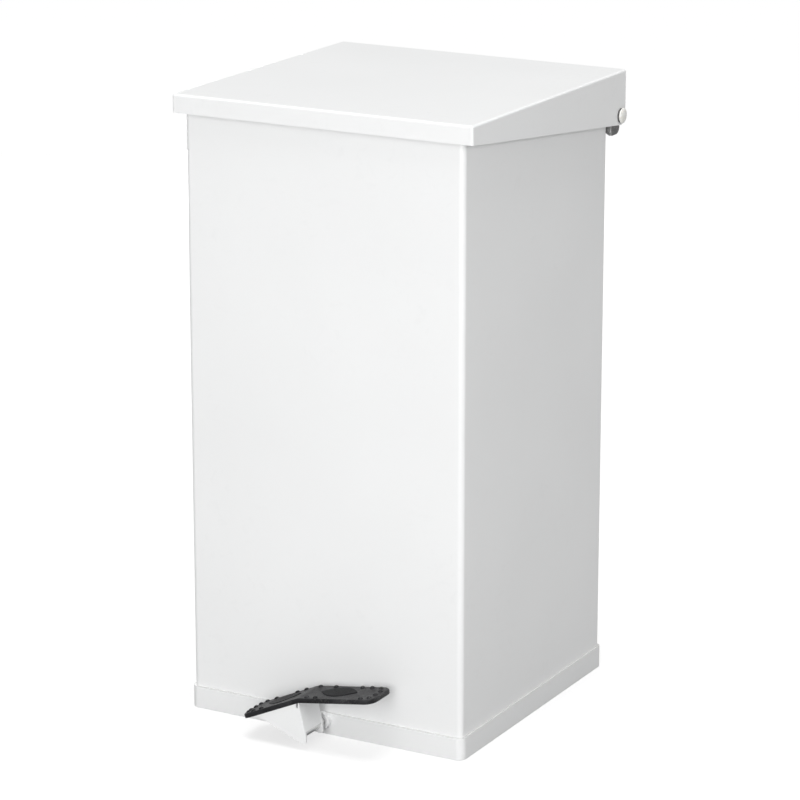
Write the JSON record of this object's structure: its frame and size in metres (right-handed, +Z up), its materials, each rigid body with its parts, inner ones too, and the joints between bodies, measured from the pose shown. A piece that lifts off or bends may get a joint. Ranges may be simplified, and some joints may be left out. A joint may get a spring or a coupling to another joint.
{
  "type": "pedal bin",
  "caption": "Tall square sheet-steel waste bin: a rocking foot pedal turns a shaft and lifts a rod that swings the overhanging hinged lid open over a lift-out liner.",
  "frame": {"origin": "middle of the casing, on the ground", "axes": "+X along the front from left to right as seen from the front, +Y to the back, +Z up"},
  "size_m": [0.4254, 0.4745, 0.7925],
  "materials": {
    "white_paint": "smooth satin white powder coat",
    "galvanised": "dull galvanised sheet",
    "bare_steel": "bright zinc-plated steel",
    "black_rubber": "moulded black rubber",
    "nylon": "natural nylon",
    "cap_plastic": "satin off-white plastic"
  },
  "bodies": {
    "casing": {"base_pan": "white_paint", "body_shell": "white_paint", "floor_pan": "galvanised", "liner": "galvanised", "front_bearing": "white_paint", "rear_bearing_bracket": "galvanised", "rear_bush": "nylon", "bearing_screws": "bare_steel", "hinge_bracket_left": "galvanised", "hinge_bracket_right": "galvanised", "hinge_bolt_left": "bare_steel", "hinge_bolt_right": "bare_steel", "hinge_cap_left": "cap_plastic", "hinge_cap_right": "cap_plastic", "hinge_nuts": "bare_steel", "hinge_spacers": "nylon", "bracket_rivets": "bare_steel", "rod_guide_lower": "galvanised", "rod_guide_upper": "galvanised", "guide_rivets": "bare_steel", "lid_buffers": "black_rubber"},
    "lid": {"lid_shell": "white_paint", "lid_lever": "galvanised", "lever_pin": "bare_steel", "lever_pin_clip": "bare_steel", "lid_bush_left": "nylon", "lid_bush_right": "nylon"},
    "pedal": {"pedal_shaft": "bare_steel", "pedal_bracket": "white_paint", "pedal_plate": "bare_steel", "pedal_pad": "black_rubber", "shaft_collar": "bare_steel", "crank_arm": "bare_steel", "roll_pins": "bare_steel", "crank_pin": "bare_steel", "crank_pin_clip": "bare_steel"},
    "lift_rod": {"lift_rod": "bare_steel", "rod_foot": "bare_steel", "rod_head": "bare_steel"}
  },
  "joints": [
    {"name": "lid_hinge", "type": "hinge", "parent": "casing", "child": "lid", "pos_m": [0, 0.2, 0.736], "axis": [-1, 0, 0], "range_deg": [0, 70]},
    {"name": "pedal_rock", "type": "hinge", "parent": "casing", "child": "pedal", "pos_m": [0, -0.2, 0.019], "axis": [0, 1, 0], "range_deg": [0, 28]},
    {"name": "rod_lift", "type": "slide", "parent": "casing", "child": "lift_rod", "axis": [0, 0, 1], "range_m": [0, 0.0217]}
  ],
  "couplings": [
    {"joint": "pedal_rock", "follows": "lid_hinge", "ratio": 0.4},
    {"joint": "rod_lift", "follows": "lid_hinge", "m_per_rad": 0.017723}
  ]
}
